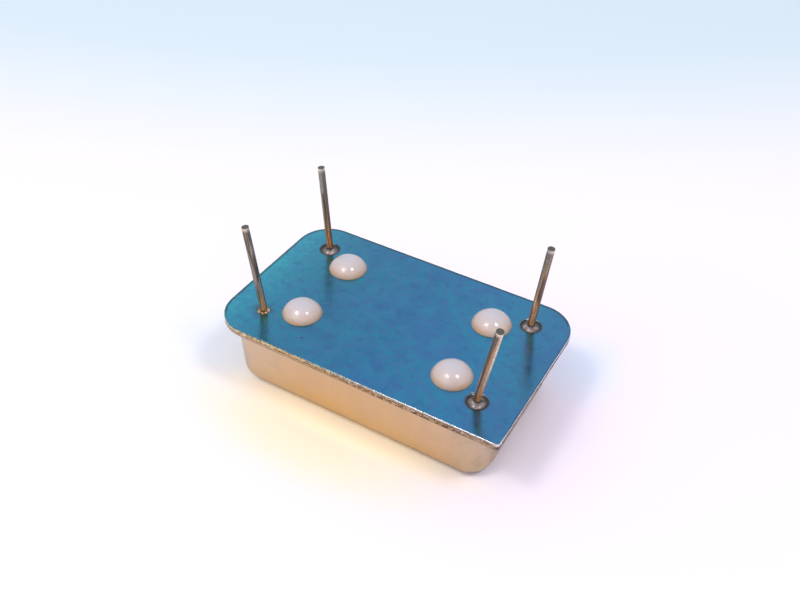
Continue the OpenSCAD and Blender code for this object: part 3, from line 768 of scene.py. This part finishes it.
def geometryOut(tree, kind, inputs=None, **settings):
    return firstOut(tree, "GeometryNode" + kind, inputs, **settings)


def endTree(tree, geometry, finish):
    out = tree.nodes.new("NodeGroupOutput").inputs
    real = geometryOut(tree, "RealizeInstances", {0: geometry})
    done = geometryOut(tree, "SetMaterial", {"Geometry": real, "Material": finish})
    tree.links.new(done, out[0])
    return tree


def smoothed(tree, geometry):
    return geometryOut(tree, "SetShadeSmooth", {0: geometry})


def store(tree, geometry, name, value, kind="FLOAT"):
    return geometryOut(tree, "StoreNamedAttribute", {
        "Geometry": geometry, "Name": name, "Value": value}, data_type=kind, domain="POINT")


def stored(tree, name):
    return geometryOut(tree, "InputNamedAttribute", {"Name": name}, data_type="FLOAT")


def wireTree():   # a wire swept along its line, thinner at the sheared end
    tree, given = newTree("sweptWire", {
        "Wire Radius": leadRadius * mm, "Unevenness": 0.02, "End Taper": 0.12, "Brown From": 0.25,
        "Brown Reach": 0.5, "Highlight Side": (1.0, 0.0, 0.0), "Sides": 32, "Seed": 1}, "Wire")
    line = addNode(tree, "GeometryNodeSplineParameter").outputs
    phase = plus(tree, times(tree, line["Length"], 1400.0), given["Seed"])
    uneven = firstOut(tree, "ShaderNodeTexNoise", {
        "W": phase, "Scale": 1.0, "Detail": 2.0}, noise_dimensions="1D")
    radius = mathNode(tree, "SUBTRACT", 1.0, times(tree, uneven, given["Unevenness"]))
    tip = times(tree, spread(tree, line["Factor"], 0.993, 1.0), given["End Taper"])
    # Curve to Mesh takes the size of the section from the line's radius
    kept = geometryOut(tree, "SetCurveRadius", {
        "Curve": given["Line"], "Radius": mathNode(tree, "SUBTRACT", radius, tip)})
    fade = mathNode(tree, "DIVIDE", mathNode(tree, "SUBTRACT", line["Factor"], given["Brown From"]),
                    given["Brown Reach"])
    for name, value in (("along", line["Factor"]), ("fade", fade), ("reach", line["Length"])):
        kept = store(tree, kept, name, value)
    section = geometryOut(tree, "CurvePrimitiveCircle", {
        "Resolution": given["Sides"], "Radius": given["Wire Radius"]})
    section = store(tree, section, "round", geometryOut(tree, "SplineParameter"))
    swept = geometryOut(tree, "CurveToMesh", {
        "Curve": kept, "Profile Curve": section, "Fill Caps": True})
    facing = geometryOut(tree, "InputNormal")
    # how far each point faces the side with the painted highlight
    swept = store(tree, swept, "highlight", vectorMath(tree, "DOT_PRODUCT", facing, given["Highlight Side"]))
    angle = times(tree, stored(tree, "round"), 2 * pi)
    drawnOut = plus(tree, times(tree, stored(tree, "reach"), 250.0), times(tree, given["Seed"], 7.3))
    drawn = firstOut(tree, "ShaderNodeCombineXYZ", {
        "X": mathNode(tree, "COSINE", angle), "Y": mathNode(tree, "SINE", angle), "Z": drawnOut})
    swept = store(tree, swept, "drawn", drawn, "FLOAT_VECTOR")
    return endTree(tree, smoothed(tree, swept), given["Finish"])


def growMesh(name, line, tree, values):   # runs a tree on a line and returns the finished mesh object
    source = newObject(name + "_line", line)
    modifier = source.modifiers.new("grow", "NODES")
    modifier.node_group = tree
    for item in tree.interface.items_tree:
        if item.item_type == "SOCKET" and item.in_out == "INPUT" and item.name in values:
            modifier[item.identifier] = values[item.name]
    bpy.context.view_layer.update()
    solid = source.evaluated_get(bpy.context.evaluated_depsgraph_get())
    mesh = bpy.data.meshes.new_from_object(solid)
    bpy.data.objects.remove(source)
    mesh.name = name
    return newObject(name, mesh)


def polyLine(points, closed=False):
    curve = bpy.data.curves.new("line", "CURVE")
    curve.dimensions = "3D"
    spline = curve.splines.new("POLY")
    spline.points.add(len(points) - 1)
    for point, place in zip(spline.points, points):
        point.co = (*(value * mm for value in place), 1)
    spline.use_cyclic_u = closed
    return curve


def leadLine(number, spec):   # up through its hole, then a slow bend, then straight
    leanX, leanY = (radians(v) for v in spec["lean"][number])
    along = Vector((tan(leanX), tan(leanY), 1)).normalized()
    side = Vector((along.x, along.y, 0)).normalized()
    upward = Vector((0, 0, 1))
    tilt = along.angle(upward)
    foot = leadPlaces[number]
    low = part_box(f"lead_{number}")[0].z / mm
    bendZ = top + spec["bendHeight"]
    points = [Vector((foot.x, foot.y, low + (bendZ - low) * i / 10)) for i in range(11)]
    for i in range(1, spec["bendSteps"] + 1):
        a = tilt * i / spec["bendSteps"]
        points.append(Vector((foot.x, foot.y, bendZ)) + side * spec["bendRadius"] * (1 - cos(a))
                      + upward * spec["bendRadius"] * sin(a))
    start = points[-1]
    rest = spec["length"] - spec["bendHeight"] - spec["bendRadius"] * tilt
    stops = [i / spec["steps"] for i in range(1, spec["steps"])] + [0.992, 1.0]
    return points + [start + along * rest * t for t in stops]


def makeLead(number, spec, tree, material):
    side = radians(spec["highlightSide"][number])
    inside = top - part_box(f"lead_{number}")[0].z / mm
    piece = growMesh(f"lead_wire_{number}", polyLine(leadLine(number, spec)), tree, {
        "Wire Radius": leadRadius * mm, "Unevenness": spec["uneven"], "End Taper": spec["endTaper"],
        "Highlight Side": [spec["highlight"][number] * v for v in (cos(side), sin(side), 0.0)],
        "Brown From": inside / (inside + spec["length"]), "Brown Reach": spec["brownReach"][number],
        "Sides": spec["sides"], "Seed": number, "Finish": material})
    piece.data.set_sharp_from_angle(angle=radians(50))
    enrol(piece, f"lead_{number}")


wireFinish, sweptWire = leadMaterial(leadWire), wireTree()
for number in leadWire["lean"]:
    makeLead(number, leadWire, sweptWire, wireFinish)
print("leads made")

standoffBead = {
    "sides": 72, "rings": 26, "uneven": 0.012, "rippleSize": 0.8,
    # from the foot up, painted light: dark and warm at the foot, lilac at the top
    "tones": [(0.0, (0.24, 0.14, 0.08)), (0.06, (0.42, 0.29, 0.19)), (0.2, (0.5, 0.37, 0.28)),
              (0.42, (0.58, 0.46, 0.4)), (0.75, (0.56, 0.5, 0.5)), (1.0, (0.52, 0.5, 0.55))],
}


def beadMaterial(spec):
    material, tree = startMaterial(
        "beadMilkGlass", IOR=1.52, Coat_Weight=0.5, Coat_Roughness=0.1,
        Subsurface_Weight=0.35, Subsurface_Scale=0.0006, Subsurface_Radius=(1.0, 0.75, 0.6))
    height = attribute(tree, "height")
    murk = cloudMask(tree, 0.9, 0.3, 0.7, 4.0)
    brown = cloudMask(tree, 0.5, 0.46, 0.6, 5.0, (4, 0, 2))
    dots = speckMask(tree, 0.3, 0.05, 0.3, 0.4)
    base = tint(tree, colourRamp(tree, height, spec["tones"]), [
        (murk, 0.15, (0.54, 0.47, 0.46)),
        (brown, spread(tree, height, 0.45, 0.1, 0.0, 0.6), (0.56, 0.29, 0.1)),
        (dots, spread(tree, height, 0.12, 0.03), (0.08, 0.05, 0.05))])
    plug(tree, Base_Color=base, Roughness=between(tree, murk, 0.14, 0.24))
    addBump(tree, murk, 0.02, 0.12)
    return material


def makeBead(number, spec, material):
    bm = bmesh.new()
    heightLayer = layersFor(bm, "height")[0]
    lo, hi = (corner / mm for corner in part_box(f"standoff_{number}"))
    centre, radius, rise = (lo + hi) / 2, (hi.x - lo.x) / 2, hi.z - lo.z
    ball = (radius * radius + rise * rise) / (2 * rise)
    edgeAngle = asin(min(1.0, radius / ball))
    rings = []
    for k in range(spec["rings"], 0, -1):   # from the foot up
        a = edgeAngle * k / spec["rings"]
        r, z = ball * sin(a), hi.z - ball * (1 - cos(a))
        free = sin(pi * k / spec["rings"]) if k < spec["rings"] else 0.0
        verts = []
        for x, y in circleLine(centre, r, spec["sides"]):
            push = spec["uneven"] * free * (ripple(x, y, z, spec["rippleSize"], number * 1.7) - 0.6)
            away = Vector((x - centre.x, y - centre.y, 0)).normalized() * push
            vert = bm.verts.new(((x + away.x) * mm, (y + away.y) * mm, (z + push) * mm))
            vert[heightLayer] = (z - lo.z) / rise
            verts.append(vert)
        rings.append(verts)
    joinRings(bm, rings)
    pole = bm.verts.new((centre.x * mm, centre.y * mm, hi.z * mm))
    pole[heightLayer] = 1.0
    last = rings[-1]
    for i, vert in enumerate(last):
        bm.faces.new((vert, last[(i + 1) % len(last)], pole))
    bm.faces.new(rings[0][::-1])
    finishMesh(bm, f"bead_{number}", material, f"standoff_{number}", 60)


milkGlass = beadMaterial(standoffBead)
for number in (1, 7, 8, 14):
    makeBead(number, standoffBead, milkGlass)
print("standoffs made")

weldGrains = {   # along the seam of the two flanges
    "inset": 0.055, "gap": 0.06, "least": 0.018, "most": 0.046, "scatter": 0.012, "seed": 5,
    "blotches": (0.45, 0.35, 0.62, 4.0), "grain": 0.03, "metal": 1.0, "rough": (0.2, 0.45),
    "bump": (0.005, 0.6),
    "tones": [(0.0, (0.13, 0.08, 0.05)), (0.4, (0.42, 0.3, 0.2)), (0.8, (0.75, 0.66, 0.55)),
              (1.0, (0.9, 0.84, 0.78))],
}
edgeBurrs = {   # along the front top edge of the plate
    "inset": 0.06, "gap": 0.19, "least": 0.016, "most": 0.05, "scatter": 0.02, "seed": 9,
    "from": -0.78, "to": 0.72, "drop": 0.035, "steps": 60,
    "blotches": (0.3, 0.42, 0.6, 3.0, (2, 0, 6)), "grain": 0.03, "metal": 1.0, "rough": (0.15, 0.4),
    "bump": (0.004, 0.5),
    "tones": [(0.0, (0.1, 0.13, 0.08)), (0.35, (0.5, 0.48, 0.2)), (0.65, (0.9, 0.86, 0.6)),
              (1.0, (0.95, 0.95, 0.92))],
}


def randomValue(tree, kind, low, high, seed):
    first = 0 if kind == "FLOAT_VECTOR" else 2   # the vector sockets come before the float ones
    return addNode(tree, "FunctionNodeRandomValue", {
        first: low, first + 1: high, "Seed": seed}, data_type=kind).outputs[first // 2]


def grainTree():   # small lumps scattered on a line
    tree, given = newTree("seamLumps", {
        "Gap": 0.07 * mm, "Smallest": 0.02 * mm, "Largest": 0.04 * mm, "Scatter": 0.02 * mm,
        "Seed": 1}, "Lumps")
    seed = given["Seed"]
    places = geometryOut(tree, "CurveToPoints", {
        "Curve": given["Line"], "Length": given["Gap"]}, mode="LENGTH")
    scatter = randomValue(tree, "FLOAT_VECTOR", (-1, -1, -1), (1, 1, 1), seed)
    offset = firstOut(tree, "ShaderNodeVectorMath", {
        0: scatter, "Scale": given["Scatter"]}, operation="SCALE")
    moved = geometryOut(tree, "SetPosition", {"Geometry": places, "Offset": offset})
    lump = smoothed(tree, geometryOut(tree, "MeshIcoSphere", {"Radius": 1.0, "Subdivisions": 2}))
    squashed = geometryOut(tree, "Transform", {"Geometry": lump, "Scale": (1.0, 0.75, 0.85)})
    size = randomValue(tree, "FLOAT", given["Smallest"], given["Largest"], plus(tree, seed, 3.0))
    turn = randomValue(tree, "FLOAT_VECTOR", (0, 0, 0), (6.28, 6.28, 6.28), plus(tree, seed, 7.0))
    placed = geometryOut(tree, "InstanceOnPoints", {
        "Points": moved, "Instance": squashed, "Rotation": turn, "Scale": size})
    return endTree(tree, placed, given["Finish"])


def makeLumps(name, line, finish, spec):
    piece = growMesh(name, line, lumpTree, {
        "Gap": spec["gap"] * mm, "Smallest": spec["least"] * mm, "Largest": spec["most"] * mm,
        "Scatter": spec["scatter"] * mm, "Seed": spec["seed"], "Finish": roughMetal(finish, spec)})
    enrol(piece)


def burrLine(spec):
    steps, reach = spec["steps"], spec["to"] - spec["from"]
    y, z = spec["inset"] - halfY, top - spec["drop"]
    return [(halfX * (spec["from"] + reach * i / steps), y, z) for i in range(steps + 1)]


lumpTree = grainTree()
seamLine = [(x, y, seam) for x, y in plateRing(weldGrains["inset"])]
makeLumps("weld_grains", polyLine(seamLine, closed=True), "weldSpatter", weldGrains)
makeLumps("edge_burrs", polyLine(burrLine(edgeBurrs)), "edgeBurrs", edgeBurrs)
print("weld grains made")

insideFinish = {   # nodes; colour low, colour high, blotch size, rough low, rough high, metal, bump depth
    "sheetAmber": (["insulating_sheet"], (0.42, 0.24, 0.06), (0.6, 0.38, 0.12), 1.4, 0.25, 0.4, 0.0, 0.01),
    "aluminaWhite": (["circuit_board"], (0.72, 0.7, 0.64), (0.86, 0.84, 0.8), 0.9, 0.45, 0.65, 0.0, 0.008),
    "filmSilver": (["conductor_film"], (0.52, 0.5, 0.46), (0.78, 0.76, 0.7), 0.5, 0.3, 0.5, 0.95, 0.006),
    "solderGrey": (["lead_solder"], (0.42, 0.42, 0.43), (0.7, 0.7, 0.7), 0.35, 0.18, 0.36, 1.0, 0.012),
    "resistorBlack": (["resistor_1", "resistor_2"],
        (0.015, 0.018, 0.02), (0.06, 0.065, 0.07), 0.4, 0.5, 0.75, 0.0, 0.008),
    "springNickel": (["clip_left", "clip_right"],
        (0.5, 0.46, 0.38), (0.74, 0.7, 0.62), 0.6, 0.2, 0.38, 1.0, 0.005),
    "quartzPale": (["quartz_blank"], (0.62, 0.68, 0.7), (0.8, 0.84, 0.86), 1.6, 0.06, 0.16, 0.0, 0.002),
    "electrodeGold": (["electrode_upper", "electrode_lower"],
        (0.72, 0.5, 0.2), (0.9, 0.7, 0.34), 0.8, 0.16, 0.3, 1.0, 0.002),
    "adhesiveSilver": (["adhesive_left", "adhesive_right"],
        (0.36, 0.35, 0.34), (0.58, 0.57, 0.55), 0.25, 0.4, 0.62, 0.6, 0.012),
    "mouldingBlack": (["chip_moulding"],
        (0.012, 0.012, 0.014), (0.045, 0.045, 0.05), 0.5, 0.42, 0.62, 0.0, 0.008),
    "chipLeadTin": (["chip_leads"], (0.5, 0.5, 0.5), (0.78, 0.78, 0.76), 0.3, 0.22, 0.4, 1.0, 0.005),
    "ceramicTan": (["capacitor_1", "capacitor_2"],
        (0.4, 0.28, 0.17), (0.6, 0.44, 0.3), 0.4, 0.4, 0.6, 0.0, 0.007),
    "capEndTin": (["capacitor_1_ends", "capacitor_2_ends"],
        (0.55, 0.54, 0.52), (0.8, 0.79, 0.76), 0.25, 0.22, 0.42, 1.0, 0.009),
}
quartz = {"transmission": 0.85, "ior": 1.54}


def insideMaterial(name, low, high, size, roughLow, roughHigh, metal, depth):
    material, tree = startMaterial(name, Metallic=metal)
    if name == "quartzPale":
        shaderSocket(tree, "Transmission_Weight").default_value = quartz["transmission"]
        shaderSocket(tree, "IOR").default_value = quartz["ior"]
    blotch = cloudMask(tree, size, 0.25, 0.75, 4.0)
    fine = useGroup(tree, grain, Size=size * 0.12)
    marks = speckMask(tree, size * 0.8, size * 0.06, 0.2)
    base = tint(tree, mixColour(tree, blotch, low, high), [(marks, 0.45, tuple(v * 0.4 for v in low))])
    rough = plus(tree, between(tree, blotch, roughLow, roughHigh), times(tree, marks, 0.12))
    plug(tree, Base_Color=base, Roughness=rough)
    addBump(tree, fine["Height"], depth, 0.5)
    return material


for finish, (names, *values) in insideFinish.items():
    material = insideMaterial(finish, *values)
    for name in names:
        slots = nodes[name].data.materials
        slots.clear()
        slots.append(material)
print("inside parts finished")

studio = {
    "floorColour": (0.9, 0.89, 0.9), "floorSize": 2.0, "floorDrop": 0.0001, "farGlow": 0.3,
    "glowFrom": 60, "glowFull": 300,   # mm from the middle
    "patches": (   # painted light and shade on the floor: a cool tint far behind, lilac and blue tints where the shadows fall, and painted glows, warm where the golden wall throws light on it
        {"place": (-54, 96), "turn": 29, "size": (150, 90), "core": 0.62, "colour": (0.68, 0.81, 0.88)},
        {"place": (18, 6), "size": (23, 26), "core": 0.3, "colour": (0.91, 0.85, 0.98)},
        {"place": (10.5, 8), "size": (4, 5), "core": 0.1, "colour": (0.82, 0.88, 1.0),
         "thrown": (0.0, 0.02, 0.12)},
        {"place": (-13.5, -3), "size": (5, 5), "core": 0.1, "colour": (0.84, 0.89, 0.96)},
        {"place": (-2.5, -7.4), "size": (11.5, 4.4), "core": 0.15, "colour": (0.93, 0.85, 0.7),
         "thrown": (0.3, 0.14, 0.02)},
        {"place": (-0.5, -5.2), "size": (11, 1.9), "core": 0.3, "colour": (0.93, 0.85, 0.68),
         "thrown": (0.66, 0.44, 0.2)},
    ),
    "skyTop": (0.82, 0.8, 0.97), "skyLow": (0.95, 0.9, 0.9), "skyPower": 0.8,
    "coolSide": (-0.37, 0.66, 0.65), "coolColour": (0.72, 0.82, 0.94),
    "wall": (0.98, 0.97, 1.0),   # the bare wall behind, as the camera sees it
    "soft": {"size": 0.3, "power": 0.28, "colour": (1.0, 0.92, 0.8), "place": (-0.09, -0.19, 0.28)},
    "lamps": {"aside": 0.41, "up": 0.45, "back": 0.78, "distance": 0.25, "radius": 0.026, "power": 0.15,
              "colour": (1.0, 0.93, 0.84)},
}


def makeFloor(spec):
    bm = bmesh.new()
    bmesh.ops.create_grid(bm, x_segments=4, y_segments=4, size=spec["floorSize"] / 2)
    mesh = meshFrom(bm, "floor")
    floor = newObject("floor", mesh)
    floor.location.z = -spec["floorDrop"] * mm
    material, tree = startMaterial("paleFloor", Roughness=0.7)
    tone = times(tree, cloudMask(tree, 40.0, detail=2.0), 0.5)
    colour = mixColour(tree, tone, spec["floorColour"], tuple(v * 0.985 for v in spec["floorColour"]))
    place = objectPlace(tree)
    far = spread(tree, vectorMath(tree, "LENGTH", place), spec["glowFrom"] * mm, spec["glowFull"] * mm,
                 kind="SMOOTHSTEP")
    glow = mixColour(tree, far, (0, 0, 0), (1, 1, 1))
    for patch in spec["patches"]:
        local = firstOut(tree, "ShaderNodeMapping", {
            "Vector": place, "Location": [v * mm for v in (*patch["place"], 0)],
            "Rotation": (0, 0, radians(patch.get("turn", 0))),
            "Scale": [v * mm for v in (*patch["size"], 1)]},
            vector_type="TEXTURE")
        share = spread(tree, vectorMath(tree, "LENGTH", local), 1.0, patch["core"], kind="SMOOTHSTEP")
        colour = mixColour(tree, share, colour, patch["colour"])
        if "thrown" in patch:
            glow = mixColour(tree, 1.0, glow, mixColour(tree, share, (0, 0, 0), patch["thrown"]), "ADD")
    shaderSocket(tree, "Emission_Strength").default_value = spec["farGlow"]
    plug(tree, Base_Color=colour, Emission_Color=glow)
    mesh.materials.append(material)


def makeSky(spec):
    world = bpy.data.worlds.new("softSky")
    world.use_nodes = True
    tree = world.node_tree
    direction = addNode(tree, "ShaderNodeTexCoord").outputs["Generated"]
    rise = addNode(tree, "ShaderNodeSeparateXYZ", {"Vector": direction}).outputs["Z"]
    colour = mixColour(tree, spread(tree, rise, -0.1, 0.8), spec["skyLow"], spec["skyTop"])
    toward = vectorMath(tree, "DOT_PRODUCT", direction, Vector(spec["coolSide"]).normalized())
    colour = mixColour(tree, spread(tree, toward, 0.3, 1.0), colour, spec["coolColour"])
    seen = addNode(tree, "ShaderNodeLightPath").outputs["Is Camera Ray"]
    colour = mixColour(tree, seen, colour, tuple(v / spec["skyPower"] for v in spec["wall"]))
    sky = tree.nodes["Background"]
    tree.links.new(colour, sky.inputs["Color"])
    sky.inputs["Strength"].default_value = spec["skyPower"]
    bpy.context.scene.world = world


def addLamp(name, place, target, size, spec):
    data = bpy.data.lights.new(name, "AREA")
    data.shape, data.size = "DISK", size
    data.energy, data.color = spec["power"], spec["colour"]
    lamp = newObject(name, data)
    lamp.location = place
    lamp.rotation_euler = (Vector(target) - Vector(place)).to_track_quat("-Z", "Y").to_euler()


makeFloor(studio)
makeSky(studio)
middle = Vector((0, 0, top * mm))
soft, lamps = studio["soft"], studio["lamps"]
addLamp("softbox", soft["place"], middle, soft["size"], soft)
for name, side in (("lamp_left", -1), ("lamp_right", 1)):
    toward = (camRight * side * lamps["aside"] + camUp * lamps["up"] + camBack * lamps["back"]).normalized()
    addLamp(name, middle + toward * lamps["distance"], middle, lamps["radius"] * 2, lamps)
bpy.context.scene.view_settings.view_transform = "Standard"
print("stage made")
